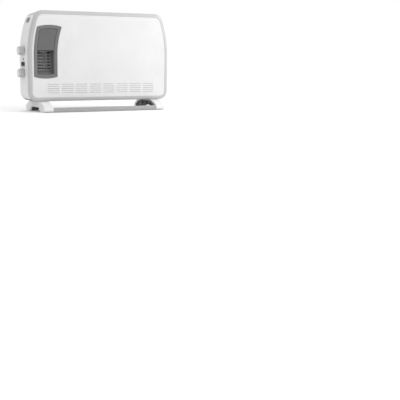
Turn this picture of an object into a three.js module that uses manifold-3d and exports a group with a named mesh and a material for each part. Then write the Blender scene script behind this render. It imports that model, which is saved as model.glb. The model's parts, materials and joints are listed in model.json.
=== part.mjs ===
// Fan convector heater: a slim floor-standing case with a beveled front, a fan outlet in the front
// panel, controls on the left end and two feet tied by a cross bar.
// Millimetres, +Z up, front towards -Y. The origin is the middle of the footprint, on the floor.
import * as THREE from 'three';
import { mergeGeometries, mergeVertices } from 'three/addons/utils/BufferGeometryUtils.js';
import Module from 'manifold-3d';

const wasm = await Module();
wasm.setup();

const { PI } = Math;
const GAP = 0.3; // clearance left between pieces that touch

// ---- driving dimensions ----
const CASE = {
  halfWidth: 300, bottom: 40, top: 380, wall: 2.5,
  front: -47, frameBack: -35, back: 48,
  bottomRadius: 34, topRadius: 40,
  sideRadius: 440, sideStraightTo: 210, // ends are upright to here, then curve inwards
  rearRadius: 8, rearLip: 12,
  topDrop: 8, // how far the top has come down at the rear
};
const FRAME = { bevelWidth: 14, bevelDepth: 6, ledge: 6, ledgeThickness: 2 };
const PANEL = { thickness: 1, setBack: 0.3 }; // sheet steel, front and rear
const JOIN = { top: 267, bottom: 288, topGap: 2.2 }; // ends of the top grille and the base plate
const WINDOW = {
  inset: 21, width: 95, // left edge from the case's end, and its width
  top: { x: -212, z: 144, radius: 182 },
  bottom: { x: -231, z: 300, radius: 174 },
  corner: 4, bezel: 14, recessBack: -20, proud: 0.5,
};
const SILL = { front: 140, back: 154 };
const HOOD = {
  top: 322, bottom: 231, front: -46, middle: -44.5, lip: -45, back: -17, thickness: 2.5,
};
const GRILLE = {
  top: 229, front: -26, back: -16.5, ribX: -222, border: 3.5,
  slats: 6, pitch: 11.5, first: 158.5, tilt: 0.9, slatDepth: 9.4, slatThickness: 2,
};
const BLOWER = { x: -228, y: 10, bottom: 144, top: 234, wheelRadius: 21, wallRadius: 24, blades: 12 };
const MOTOR = { bottom: 238.3, height: 36, radius: 18 };
const CONTROL = { y: 6, thermostat: 228.5, lamp: 197, rocker: 179, selector: 145 };
const KNOB = { radius: 17, reach: 21.5, lift: 1, flutes: 18 };
const ROCKER = { halfLength: 7.6, halfWidth: 4.6, pivotX: -296, restTilt: 8 };
const GRIP = { y: 12, angle: 18.2, halfLength: 21, halfHeight: 12, depth: 19, wall: 2 };
const ELEMENT = { left: -150, right: 245, y: 5, heights: [85, 130], arm: 19, web: 3 };
const SHIELD = { x: -168, thickness: 1.5 };
const FOOT = {
  centre: 240, halfWidth: 18, reach: 95, bottom: 1.2, outerWall: 6, tipRadius: 9,
  rimTip: 13, rimTop: 4, // width of the cover's rim round the core
};
const ARCH = { half: 50, flatHalf: 30, top: 17 }; // the opening under each foot
const PAD = { y: 66, radius: 8, height: 3 };
const FOOT_SCREW = { y: 30, head: 4.5, shank: 2, top: 50 };
const REAR_SCREWS = [[284, 84], [268, 300]];
const GLAND = { x: -228, z: 75, radius: 8, flange: 12 };
const BAR = {
  y: -88, halfDepth: 4.5, bottom: 1, top: 18.5, round: 3,
  tenon: 8, tenonHalf: 3, tenonZ: [5, 12], // the stub ends that sit in the feet
};

// ---- materials ----
const finish = (color, roughness, metalness = 0) => ({ color, roughness, metalness });
const FINISH = {
  whitePanel: finish(0xf0f0ee, 0.38),
  whitePlastic: finish(0xe9e9e7, 0.45),
  greyTrim: finish(0xc4c5c7, 0.4),
  darkGrey: finish(0x6b6c6e, 0.5),
  barGrey: finish(0xa2a3a5, 0.5),
  black: finish(0x1b1b1c, 0.45),
  rubber: finish(0x242424, 0.85),
  steel: finish(0xa9abae, 0.35, 1),
  aluminium: finish(0xc9cbcd, 0.4, 1),
  amber: finish(0xa8a39c, 0.25),
  ceramic: finish(0xdcd3bf, 0.6),
};

// ---- solids ----
function solidOf(geometry) {
  const bare = geometry.clone();
  bare.deleteAttribute('normal');
  bare.deleteAttribute('uv');
  const merged = mergeVertices(bare, 1e-4);
  return new wasm.Manifold(new wasm.Mesh({
    numProp: 3,
    vertProperties: new Float32Array(merged.attributes.position.array),
    triVerts: new Uint32Array(merged.index.array),
  }));
}

function geometryOf(solid) {
  const mesh = solid.getMesh();
  const geometry = new THREE.BufferGeometry();
  geometry.setAttribute('position', new THREE.BufferAttribute(mesh.vertProperties, 3));
  geometry.setIndex(new THREE.BufferAttribute(mesh.triVerts, 1));
  geometry.computeVertexNormals();
  return geometry;
}

const axes = (x, y, z) => new THREE.Matrix4().makeBasis(
  new THREE.Vector3(...x), new THREE.Vector3(...y), new THREE.Vector3(...z));
const ALONG_Y = axes([1, 0, 0], [0, 0, 1], [0, -1, 0]); // outline in x, z
const ALONG_X = axes([0, 1, 0], [0, 0, 1], [1, 0, 0]); // outline in y, z

const extrude = (shape, depth, curveSegments) => new THREE.ExtrudeGeometry(
  shape, { depth, bevelEnabled: false, curveSegments });

function plateY(shape, y0, y1, segments = 4) {
  return solidOf(extrude(shape, y1 - y0, segments).applyMatrix4(ALONG_Y).translate(0, y1, 0));
}

function plateX(shape, x0, x1, segments = 6) {
  return solidOf(extrude(shape, x1 - x0, segments).applyMatrix4(ALONG_X).translate(x0, 0, 0));
}

function plateZ(shape, z0, z1, segments = 6) {
  return solidOf(extrude(shape, z1 - z0, segments).translate(0, 0, z0));
}

function boxGeometry([x0, x1], [y0, y1], [z0, z1]) {
  return new THREE.BoxGeometry(x1 - x0, y1 - y0, z1 - z0)
    .translate((x0 + x1) / 2, (y0 + y1) / 2, (z0 + z1) / 2);
}

const box = (x, y, z) => solidOf(boxGeometry(x, y, z));
const around = (centre, half) => [centre - half, centre + half];

function rod(axis, radius, [from, to], centre, segments = 16) {
  const geometry = new THREE.CylinderGeometry(radius, radius, to - from, segments);
  geometry.translate(0, (from + to) / 2, 0);
  if (axis === 'x') geometry.rotateZ(-PI / 2).translate(0, centre[0], centre[1]);
  if (axis === 'y') geometry.translate(centre[0], 0, centre[1]);
  if (axis === 'z') geometry.rotateX(PI / 2).translate(centre[0], centre[1], 0);
  return solidOf(geometry);
}

const joined = (...solids) => solids.reduce((sum, solid) => sum.add(solid));
const cut = (solid, ...tools) => tools.reduce((rest, tool) => rest.subtract(tool), solid);

function slots(columns, rows, width, height, place) {
  const holes = columns.flatMap(
    (c) => rows.map((r) => place(around(c, width / 2), around(r, height / 2))));
  return solidOf(mergeGeometries(holes));
}

const spread = (count, pitch, centre = 0) => Array.from(
  { length: count }, (_, i) => centre + (i - (count - 1) / 2) * pitch);

// ---- the case outline ----
// Points of the outline, pulled inwards by `inset`, always the same number in the same order.
function arcPoints(cx, cz, radius, from, to, steps) {
  return Array.from({ length: steps + 1 }, (_, i) => {
    const angle = from + ((to - from) * i) / steps;
    return [cx + radius * Math.cos(angle), cz + radius * Math.sin(angle)];
  });
}

const SIDE_CENTRE = CASE.sideRadius - CASE.halfWidth; // the side arc's centre lies past the middle
const TOP_CENTRE_Z = CASE.top - CASE.topRadius;
const SHOULDER = Math.asin((TOP_CENTRE_Z - CASE.sideStraightTo) / (CASE.sideRadius - CASE.topRadius));
const TOP_CENTRE_X = (CASE.sideRadius - CASE.topRadius) * Math.cos(SHOULDER) - SIDE_CENTRE;

function outline(inset) {
  const { halfWidth, bottom, bottomRadius, topRadius, sideRadius, sideStraightTo } = CASE;
  const right = [
    ...arcPoints(halfWidth - bottomRadius, bottom + bottomRadius, bottomRadius - inset, -PI / 2, 0, 6),
    ...arcPoints(-SIDE_CENTRE, sideStraightTo, sideRadius - inset, 0, SHOULDER, 7),
    ...arcPoints(TOP_CENTRE_X, TOP_CENTRE_Z, topRadius - inset, SHOULDER, PI / 2, 6).slice(1),
  ];
  const left = right.map(([x, z]) => [-x, z]).reverse();
  return [...right, ...left];
}

function outlineShape(inset) {
  return new THREE.Shape(outline(inset).map(([x, z]) => new THREE.Vector2(x, z)));
}

// Sweeps a closed section of [inset, y] points round the outline.
function sweepRound(section) {
  const rings = section.map(([inset, y]) => outline(inset).map(([x, z]) => [x, y, z]));
  const count = rings[0].length;
  const index = [];
  rings.forEach((_, k) => {
    const next = (k + 1) % rings.length;
    for (let i = 0; i < count; i += 1) {
      const j = (i + 1) % count;
      const [a, b, c, d] = [k * count + i, k * count + j, next * count + j, next * count + i];
      index.push(a, b, c, a, c, d);
    }
  });
  const geometry = new THREE.BufferGeometry();
  geometry.setAttribute('position', new THREE.Float32BufferAttribute(rings.flat(2), 3));
  geometry.setIndex(index);
  return solidOf(geometry);
}

// ---- the fan window outline, pulled inwards by `inset` ----
function crossing(a, b, upper) { // where two circles [x, z, radius] meet
  const [dx, dz] = [b[0] - a[0], b[1] - a[1]];
  const span = Math.hypot(dx, dz);
  const along = (span ** 2 + a[2] ** 2 - b[2] ** 2) / (2 * span);
  const off = Math.sqrt(a[2] ** 2 - along ** 2) * (upper ? 1 : -1);
  return [a[0] + (dx * along - dz * off) / span, a[1] + (dz * along + dx * off) / span];
}

function windowShape(inset) {
  const side = [SIDE_CENTRE, CASE.sideStraightTo];
  const leftX = -CASE.halfWidth + WINDOW.inset + inset;
  const rightX = leftX + WINDOW.width - 2 * inset;
  const left = [...side, SIDE_CENTRE - leftX];
  const right = [...side, SIDE_CENTRE - rightX];
  const top = [WINDOW.top.x, WINDOW.top.z, WINDOW.top.radius - inset];
  const bottom = [WINDOW.bottom.x, WINDOW.bottom.z, WINDOW.bottom.radius - inset];
  const ease = Math.max(WINDOW.corner - inset / 5, 1);
  const angleOn = (circle, [x, z]) => Math.atan2(z - circle[1], x - circle[0]);
  const pointOn = ([cx, cz, radius], angle) => [
    cx + radius * Math.cos(angle), cz + radius * Math.sin(angle)];
  const floorAt = (x) => bottom[1] - Math.sqrt(bottom[2] ** 2 - (x - bottom[0]) ** 2);
  const topLeft = crossing(left, top, false);
  const topRight = crossing(right, top, false);
  const corners = { bottomLeft: [leftX, floorAt(leftX)], bottomRight: [rightX, floorAt(rightX)] };
  const shape = new THREE.Shape();
  shape.moveTo(leftX, corners.bottomLeft[1] + ease);
  shape.lineTo(leftX, CASE.sideStraightTo);
  shape.absarc(...left, PI, angleOn(left, topLeft) + ease / left[2], true);
  const topStart = angleOn(top, topLeft) - ease / top[2];
  shape.quadraticCurveTo(...topLeft, ...pointOn(top, topStart));
  const topEnd = angleOn(top, topRight) + ease / top[2];
  shape.absarc(...top, topStart, topEnd, true);
  const rightStart = angleOn(right, topRight) + ease / right[2];
  shape.quadraticCurveTo(...topRight, ...pointOn(right, rightStart));
  shape.absarc(...right, rightStart, PI, false);
  shape.lineTo(rightX, corners.bottomRight[1] + ease);
  const floorStart = angleOn(bottom, corners.bottomRight) - ease / bottom[2];
  shape.quadraticCurveTo(...corners.bottomRight, ...pointOn(bottom, floorStart));
  const floorEnd = angleOn(bottom, corners.bottomLeft) + ease / bottom[2];
  shape.absarc(...bottom, floorStart, floorEnd, true);
  shape.quadraticCurveTo(...corners.bottomLeft, leftX, corners.bottomLeft[1] + ease);
  return shape;
}

// ---- the object ----
const heater = new THREE.Group();
heater.position.x = KNOB.reach / 2; // the knobs stand out on the left only

function place(name, look, solid) {
  const mesh = new THREE.Mesh(geometryOf(solid), new THREE.MeshStandardMaterial(look));
  mesh.name = name;
  heater.add(mesh);
}

const mirrored = (solid, side) => {
  if (side < 0) return solid;
  const geometry = geometryOf(solid).scale(-1, 1, 1);
  const index = geometry.index.array;
  for (let i = 0; i < index.length; i += 3) [index[i], index[i + 1]] = [index[i + 1], index[i]];
  return solidOf(geometry);
};
const SIDES = [['left', -1], ['right', 1]];

// ---- case ----
function frontFrame() {
  const { front, frameBack } = CASE;
  const { bevelWidth, bevelDepth, ledge, ledgeThickness } = FRAME;
  const shoulder = front + bevelDepth;
  const bevel = arcPoints(0, 0, 1, 0, PI / 2, 5).map(
    ([c, s]) => [bevelWidth * (1 - c), shoulder - bevelDepth * s]);
  const seat = front + PANEL.setBack + PANEL.thickness + GAP;
  return sweepRound([
    [0, frameBack], ...bevel, [bevelWidth, seat], [bevelWidth + ledge, seat],
    [bevelWidth + ledge, seat + ledgeThickness], [bevelWidth - 2, seat + ledgeThickness],
    [3, shoulder + 2.5], [3, frameBack],
  ]);
}

function frontPanel() {
  const front = CASE.front + PANEL.setBack;
  const back = front + PANEL.thickness;
  const panel = plateY(outlineShape(FRAME.bevelWidth + GAP), front, back);
  const vents = slots(spread(8, 58.5, 3.5), spread(5, 8, 88), 48, 3.2,
    (x, z) => boxGeometry(x, [front - 1, back + 1], z));
  return cut(panel, plateY(windowShape(0), front - 1, back + 1), vents);
}

function shellBand() {
  const { wall, frameBack, back, rearRadius, rearLip } = CASE;
  const turn = back - rearRadius;
  const corner = (radius) => arcPoints(0, 0, radius, 0, PI / 2, 4).map(
    ([c, s]) => [rearRadius - c, turn + s]);
  return sweepRound([
    [wall, frameBack + GAP], ...corner(rearRadius - wall),
    [rearLip, back - wall], [rearLip, back], ...corner(rearRadius).reverse(), [0, frameBack + GAP],
  ]);
}

const BAND = shellBand();
const REACH = 400; // longer than any half of the case

function gripTool(halfLength, halfHeight, from, to) {
  const angle = (GRIP.angle * PI) / 180;
  const oval = new THREE.Shape().absellipse(0, 0, halfLength, halfHeight, 0, 2 * PI, false, 0);
  const out = [-Math.cos(angle), 0, Math.sin(angle)];
  const up = [Math.sin(angle), 0, Math.cos(angle)];
  const geometry = extrude(oval, to - from, 10).translate(0, 0, from);
  const { sideRadius, sideStraightTo } = CASE;
  const foot = [SIDE_CENTRE + out[0] * sideRadius, GRIP.y, sideStraightTo + out[2] * sideRadius];
  return solidOf(geometry.applyMatrix4(axes([0, -1, 0], up, out)).translate(...foot));
}

// Behind the front frame the top leans down towards the rear. The slope fades out at the waist.
function leaned(solid) {
  const { frameBack, back, top, sideStraightTo, topDrop } = CASE;
  return solid.warp((point) => {
    const depth = Math.max(0, (point[1] - frameBack) / (back - frameBack));
    const rise = Math.min(1, Math.max(0, (point[2] - sideStraightTo) / (top - sideStraightTo)));
    point[2] -= topDrop * depth * rise * rise * (3 - 2 * rise);
  });
}

function endCap() {
  const waist = CASE.sideStraightTo;
  const lower = box([-REACH, -JOIN.bottom - GAP], [-REACH, REACH], [0, waist]);
  const upper = box([-REACH, -JOIN.top - JOIN.topGap], [-REACH, REACH], [waist - 1, REACH]);
  const bosses = REAR_SCREWS.map(([x, z]) => joined(
    rod('y', 5, [20, CASE.back - PANEL.thickness - GAP], [-x, z], 12),
    box([-x - 22, -x], [22, 42], around(z, 1.5)),
  ));
  const holes = REAR_SCREWS.map(([x, z]) => rod('y', 2, [27, CASE.back], [-x, z], 10));
  const shell = BAND.intersect(joined(lower, upper));
  const body = leaned(cut(shell, gripTool(GRIP.halfLength, GRIP.halfHeight, -8, 8)));
  const inside = leaned(plateY(outlineShape(CASE.wall / 2), 0, CASE.back - PANEL.thickness - GAP));
  const ribs = joined(...bosses).intersect(inside);
  return cut(joined(body, ribs), ...holes);
}

function leftEndCap() {
  const through = [-CASE.halfWidth - 5, -CASE.halfWidth + 8];
  const { y, thermostat, selector, lamp, rocker } = CONTROL;
  return cut(
    endCap(),
    rod('x', 4.8, through, [y, thermostat], 16),
    rod('x', 4.8, through, [y, selector], 16),
    rod('x', 4.4, through, [y, lamp], 16),
    box(through, around(y, 10.8), around(rocker, 6.8)),
  );
}

function gripLiner() {
  const { halfLength, halfHeight, depth, wall } = GRIP;
  return leaned(cut(
    gripTool(halfLength - GAP, halfHeight - GAP, -depth, 0.2),
    gripTool(halfLength - GAP - wall, halfHeight - GAP - wall, wall - depth, 3),
  ));
}

function topGrille() {
  const strip = BAND.intersect(box([-JOIN.top, JOIN.top], [-REACH, REACH], [CASE.top - 20, REACH]));
  const openings = slots(spread(19, 24), spread(2, 34, 4), 16, 27,
    (x, y) => boxGeometry(x, y, [CASE.top - 6, CASE.top + 6]));
  return leaned(cut(strip, openings));
}

function basePlate() {
  const { bottom, wall } = CASE;
  const strip = BAND.intersect(box([-JOIN.bottom, JOIN.bottom], [-REACH, REACH], [0, bottom + CASE.bottomRadius]));
  const bosses = [-1, 1].flatMap(
    (side) => [-1, 1].map((end) => [side * FOOT.centre, end * FOOT_SCREW.y]));
  const posts = bosses.map((at) => rod('z', 5, [bottom + wall / 2, bottom + 14], at, 12));
  const pilots = bosses.map(
    (at) => rod('z', FOOT_SCREW.shank + GAP, [bottom - 2, bottom + 16], at, 10));
  const inlets = slots(spread(12, 34), spread(2, 26, 5), 24, 18,
    (x, y) => boxGeometry(x, y, [bottom - 4, bottom + 6]));
  return cut(joined(strip, ...posts), ...pilots, inlets);
}

function rearPanel() {
  const { back, rearLip } = CASE;
  const panel = leaned(plateY(outlineShape(rearLip + GAP), back - PANEL.thickness, back));
  const vents = slots(spread(7, 66, 20), spread(4, 12, 96), 54, 5,
    (x, z) => boxGeometry(x, [back - 9, back + 9], z));
  const screws = REAR_SCREWS.flatMap(([x, z]) => [-1, 1].map(
    (side) => rod('y', 2.2, [back - 9, back + 9], [side * x, z], 10)));
  const inlet = rod('y', GLAND.radius + GAP, [back - 9, back + 9], [GLAND.x, GLAND.z], 20);
  return cut(panel, vents, ...screws, inlet);
}

place('front_frame', FINISH.greyTrim, frontFrame());
place('front_panel', FINISH.whitePanel, frontPanel());
place('left_end_cap', FINISH.whitePlastic, leftEndCap());
place('right_end_cap', FINISH.whitePlastic, mirrored(endCap(), 1));
place('top_outlet_grille', FINISH.whitePlastic, topGrille());
place('base_plate', FINISH.darkGrey, basePlate());
place('rear_panel', FINISH.whitePanel, rearPanel());
for (const [side, sign] of SIDES) {
  place(`${side}_grip_liner`, FINISH.greyTrim, mirrored(gripLiner(), sign));
  REAR_SCREWS.forEach(([x, z], i) => {
    const at = [sign * x, z];
    const screw = joined(
      rod('y', 1.7, [30, CASE.back + 1], at, 8),
      rod('y', 4, [CASE.back + GAP, CASE.back + 2.4], at, 12));
    place(`rear_screw_${side}_${i + 1}`, FINISH.steel, screw);
  });
}

// ---- fan outlet in the front panel ----
const recess = (inset, y0, y1) => plateY(windowShape(inset), y0, y1);

function outletSurround() {
  const front = CASE.front - WINDOW.proud;
  const { bezel, recessBack } = WINDOW;
  const face = cut(recess(GAP, front, front + 3.5), recess(bezel, front - 1, front + 5));
  const tub = cut(recess(bezel - 2, front + 2, recessBack), recess(bezel, front - 1, recessBack + 1));
  const sill = new THREE.Shape([
    [front + 1, SILL.front - 10], [front + 1, SILL.front], [recessBack - 6, SILL.back],
    [recessBack, SILL.back], [recessBack, SILL.front - 10],
  ].map(([y, z]) => new THREE.Vector2(y, z)));
  const block = plateX(sill, -290, -170).intersect(recess(bezel - 1, front, recessBack));
  return joined(face, tub, block);
}

// A shallow scoop whose lower lip stands in front of the grille and turns back over it.
function outletHood() {
  const { top, bottom, front, middle, lip, back, thickness } = HOOD;
  const inside = bottom + thickness;
  const rear = front + thickness;
  const sheet = new THREE.Shape();
  sheet.moveTo(front, top);
  sheet.bezierCurveTo(middle, top - 24, middle, bottom + 32, lip, bottom);
  sheet.lineTo(back, bottom);
  sheet.lineTo(back, inside);
  sheet.lineTo(lip + thickness + 1, inside);
  sheet.bezierCurveTo(middle + thickness, bottom + 34, middle + thickness, top - 22, rear, top);
  return plateX(sheet, -290, -150, 8).intersect(recess(WINDOW.bezel + GAP, front, 0));
}

function outletGrille() {
  const { top, front, back, ribX, border } = GRILLE;
  const { slats, pitch, first, tilt, slatDepth, slatThickness } = GRILLE;
  const { bezel } = WINDOW;
  const across = [-290, -150];
  const zone = recess(bezel + GAP, front, back)
    .intersect(box(across, [front, back], [SILL.back + GAP, top]));
  const middle = (front + back) / 2;
  const blade = new THREE.BoxGeometry(across[1] - across[0], slatDepth, slatThickness);
  blade.rotateX(tilt).translate((across[0] + across[1]) / 2, middle, first);
  const blades = Array.from(
    { length: slats }, (_, i) => solidOf(blade.clone().translate(0, 0, i * pitch)));
  const opening = recess(bezel + GAP + border, front - 1, back + 1)
    .intersect(box(across, [front - 1, back + 1], [SILL.back + border, top - border]));
  const edge = cut(box(across, [front + 3, back], [0, REACH]), opening);
  const rib = box(around(ribX, 1.5), [front + 0.5, back], [0, REACH]);
  return joined(...blades, edge, rib).intersect(zone);
}

place('outlet_surround', FINISH.darkGrey, outletSurround());
place('outlet_hood', FINISH.darkGrey, outletHood());
place('outlet_grille', FINISH.darkGrey, outletGrille());

// ---- blower ----
function blowerHousing() {
  const { x, y, bottom, top, wallRadius } = BLOWER;
  const outer = wallRadius + 2;
  const mouth = -25;
  const scroll = new THREE.Shape();
  scroll.moveTo(-outer, mouth);
  scroll.lineTo(-outer, 0);
  scroll.absarc(0, 0, outer, PI, PI * 0.42, true);
  scroll.absarc(0, 0, wallRadius, PI * 0.42, PI, false);
  scroll.lineTo(-wallRadius, mouth);
  const end = new THREE.Shape();
  end.moveTo(-outer, mouth);
  end.lineTo(outer, mouth);
  end.lineTo(outer, 0);
  end.absarc(0, 0, outer, 0, PI, false);
  const tongue = boxGeometry([wallRadius, outer], [mouth, -8], [bottom + 1, top - 1]);
  const parts = joined(
    plateZ(scroll, bottom + 1, top - 1), solidOf(tongue),
    plateZ(end, bottom, bottom + 2), plateZ(end, top - 2, top));
  const lowerHole = rod('z', 6.3, [bottom - 5, bottom + 5], [0, 0]);
  const upperHole = rod('z', 5, [top - 5, top + 5], [0, 0]);
  return cut(parts, lowerHole, upperHole).translate([x, y, 0]);
}

function blowerWheel() {
  const { x, y, bottom, top, wheelRadius, blades } = BLOWER;
  const [low, high] = [bottom + 8, top - 8];
  const discs = [low, (low + high) / 2, high].map(
    (z) => rod('z', wheelRadius, around(z, 1), [0, 0], 24));
  const vanes = Array.from({ length: blades }, (_, i) => solidOf(
    new THREE.BoxGeometry(7, 1, high - low).rotateZ(0.7).translate(wheelRadius - 4, 0, (low + high) / 2)
      .rotateZ((i * 2 * PI) / blades)));
  const hub = rod('z', 5, [low - 1, high + 1], [0, 0], 16);
  const bore = rod('z', 2.8, [low - 5, high + 5], [0, 0], 16);
  return cut(joined(...discs, ...vanes, hub), bore).translate([x, y, 0]);
}

function blowerMotor() {
  const { bottom, height, radius } = MOTOR;
  const at = [BLOWER.x, BLOWER.y];
  const stack = box(around(at[0], 23), around(at[1], 20), [bottom + 8, bottom + 24]);
  const can = rod('z', radius, [bottom, bottom + height], at, 20);
  return cut(joined(can, stack), rod('z', 2.8, [bottom - 1, bottom + 28], at, 14));
}

function motorBracket() {
  const { x, y } = BLOWER;
  const level = BLOWER.top + 2;
  const right = SHIELD.x - GAP;
  const shelf = box([x - 22, right], around(y, 17), [level, level + 2]);
  const tab = box([right - 2, right], around(y, 17), [level, level + 26]);
  return cut(joined(shelf, tab), rod('z', 6, [level - 2, level + 5], [x, y], 16));
}

place('blower_housing', FINISH.black, blowerHousing());
place('blower_wheel', FINISH.aluminium, blowerWheel());
place('motor_shaft', FINISH.steel, rod(
  'z', 2.5, [BLOWER.bottom - 4, MOTOR.bottom + 26], [BLOWER.x, BLOWER.y], 14));
place('shaft_bush', FINISH.black, cut(
  rod('z', 6, [BLOWER.bottom - 4, BLOWER.bottom + 4], [BLOWER.x, BLOWER.y], 18),
  rod('z', 2.8, [BLOWER.bottom - 6, BLOWER.bottom + 6], [BLOWER.x, BLOWER.y], 14)));
place('blower_motor', FINISH.steel, blowerMotor());
place('motor_bracket', FINISH.steel, motorBracket());

// ---- heating ----
const SPACE = { front: -33, back: 43, floor: CASE.bottom + CASE.wall + GAP };

function heatingElement(z) {
  const { left, right, y, arm, web } = ELEMENT;
  const fin = (turn) => solidOf(new THREE.BoxGeometry(right - left, 2 * arm, web)
    .rotateX(turn).translate((left + right) / 2, y, z));
  const core = rod('x', 6, [left, right], [y, z], 12);
  const pins = rod('x', 4, [left - 12, right + 12], [y, z], 12);
  return joined(fin(PI / 5), fin(-PI / 5), core, pins);
}

function elementBracket(x) {
  const { y, heights } = ELEMENT;
  const plate = box([x, x + 1.5], around(y, 22), [SPACE.floor, 152]);
  const foot = box([x, x + 12], around(y, 22), [SPACE.floor, SPACE.floor + 1.5]);
  return cut(joined(plate, foot), ...heights.map((z) => rod('x', 4.3, [x - 3, x + 5], [y, z], 12)));
}

ELEMENT.heights.forEach((z, i) => {
  place(['lower_heating_element', 'upper_heating_element'][i], FINISH.aluminium, heatingElement(z));
});
place('element_bracket_left', FINISH.steel, elementBracket(ELEMENT.left - 8));
place('element_bracket_right', FINISH.steel, elementBracket(ELEMENT.right + 5));
place('heat_shield', FINISH.steel, box(
  [SHIELD.x, SHIELD.x + SHIELD.thickness], [SPACE.front, SPACE.back],
  [SPACE.floor + 6, CASE.top - CASE.topDrop - 6]));
place('thermal_cutout', FINISH.ceramic, joined(
  rod('x', 9, [SHIELD.x + 1.8, SHIELD.x + 9], [ELEMENT.y, 190], 20),
  box([SHIELD.x + 1.8, SHIELD.x + 3.3], around(ELEMENT.y, 15), around(190, 5))));
place('terminal_block', FINISH.ceramic, box(
  [-252, -216], around(0, 11), [SPACE.floor, SPACE.floor + 16]));

// ---- mains inlet ----
function cableGland() {
  const at = [GLAND.x, GLAND.z];
  const { back } = CASE;
  const tube = rod('y', GLAND.radius, [back - 14, back + 14], at);
  const flange = rod('y', GLAND.flange, [back + GAP, back + 6], at, 6);
  return cut(joined(tube, flange), rod('y', 4, [back - 20, back + 20], at, 14));
}

function glandNut() {
  const at = [GLAND.x, GLAND.z];
  const inner = CASE.back - PANEL.thickness - GAP;
  const nut = rod('y', GLAND.flange, [inner - 5, inner], at, 6);
  return cut(nut, rod('y', GLAND.radius + GAP, [inner - 9, inner + 9], at));
}

place('cable_gland', FINISH.black, cableGland());
place('gland_nut', FINISH.black, glandNut());

// ---- controls on the left end ----
const WALL_IN = -CASE.halfWidth + CASE.wall + 2; // inner side of the left wall, with room for its curve

function controlBody(z, half, depth) {
  const { y } = CONTROL;
  const block = box([WALL_IN, WALL_IN + depth], around(y, half), around(z, half));
  const collar = rod('x', 4.5, [-CASE.halfWidth - 0.4, WALL_IN + 1], [y, z], 16);
  return cut(joined(block, collar), rod('x', 3.3, [-CASE.halfWidth - 5, WALL_IN + 16], [y, z], 14));
}

const spindle = (z) => rod('x', 3, [-CASE.halfWidth - 14, WALL_IN + 14], [CONTROL.y, z], 14);

function knobSkirt(z) {
  const { radius, reach, lift, flutes } = KNOB;
  const rim = Array.from({ length: flutes * 2 }, (_, i) => {
    const r = radius - (i % 2 ? 0.8 : 0);
    const angle = (i * PI) / flutes;
    return new THREE.Vector2(r * Math.cos(angle), r * Math.sin(angle));
  });
  const base = -CASE.halfWidth - lift;
  const face = -CASE.halfWidth - reach + 1;
  const grip = plateX(new THREE.Shape(rim), face, base);
  const hollow = cut(
    rod('x', radius - 3, [face + 4, base + 2], [0, 0], 18), rod('x', 5.5, [face, base + 3], [0, 0], 12));
  const seat = rod('x', radius - 2, [face - 2, face + 1.2], [0, 0], 20);
  const bore = rod('x', 3.3, [face + 5, base + 2], [0, 0], 14);
  return cut(grip, hollow, seat, bore).translate([0, CONTROL.y, z]);
}

function knobCap(z) {
  const { radius, reach } = KNOB;
  const face = -CASE.halfWidth - reach;
  const disc = rod('x', radius - 2 - GAP, [face + 0.6, face + 1.9], [0, 0], 20);
  const pointer = box([face, face + 1], [-1, 1], [3, radius - 4]);
  return joined(disc, pointer).translate([0, CONTROL.y, z]);
}

const KNOBS = [['thermostat', CONTROL.thermostat, 14], ['selector', CONTROL.selector, 13]];
for (const [name, z, half] of KNOBS) {
  place(`${name}_body`, FINISH.black, controlBody(z, half, 26));
  place(`${name}_spindle`, FINISH.steel, spindle(z));
  place(`${name}_knob`, FINISH.greyTrim, knobSkirt(z));
  place(`${name}_knob_cap`, FINISH.whitePlastic, knobCap(z));
}

function rockerHousing() {
  const { y, rocker: z } = CONTROL;
  const out = -CASE.halfWidth;
  const bezel = box([out - 3.8, out - GAP], around(y, 13), around(z, 8));
  const body = box([out - 1, out + 22], around(y, 10.5), around(z, 6.5));
  return cut(joined(bezel, body), box([out - 5, out + 17], around(y, 9), around(z, 5)));
}

function rockerPaddle() {
  const { halfLength, halfWidth, pivotX, restTilt } = ROCKER;
  const profile = new THREE.Shape();
  profile.moveTo(-8, -halfLength);
  profile.quadraticCurveTo(-5.8, 0, -8, halfLength);
  profile.lineTo(-1, halfLength - 0.6);
  profile.lineTo(4, 2);
  profile.lineTo(4, -2);
  profile.lineTo(-1, -halfLength + 0.6);
  return plateZ(profile, -halfWidth, halfWidth, 4).rotate([0, 0, -restTilt])
    .translate([pivotX, CONTROL.y, CONTROL.rocker]);
}

function lampLens() {
  const out = -CASE.halfWidth;
  const dome = solidOf(new THREE.SphereGeometry(4, 12, 6).translate(out - 0.5, CONTROL.y, CONTROL.lamp));
  const barrel = rod('x', 4, [out - 0.5, out + 4], [CONTROL.y, CONTROL.lamp], 12);
  return joined(dome.intersect(box([out - 3.2, out], [-20, 20], [180, 210])), barrel);
}

function lampHolder() {
  const at = [CONTROL.y, CONTROL.lamp];
  const holder = rod('x', 6, [WALL_IN - 1, WALL_IN + 12], at, 16);
  return cut(holder, rod('x', 4.3, [WALL_IN - 3, WALL_IN + 8], at, 16));
}

place('rocker_housing', FINISH.black, rockerHousing());
place('rocker', FINISH.black, rockerPaddle());
place('pilot_lamp_lens', FINISH.amber, lampLens());
place('pilot_lamp_holder', FINISH.black, lampHolder());

// ---- feet ----
const FOOT_TOP = CASE.bottom - GAP;

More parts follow.
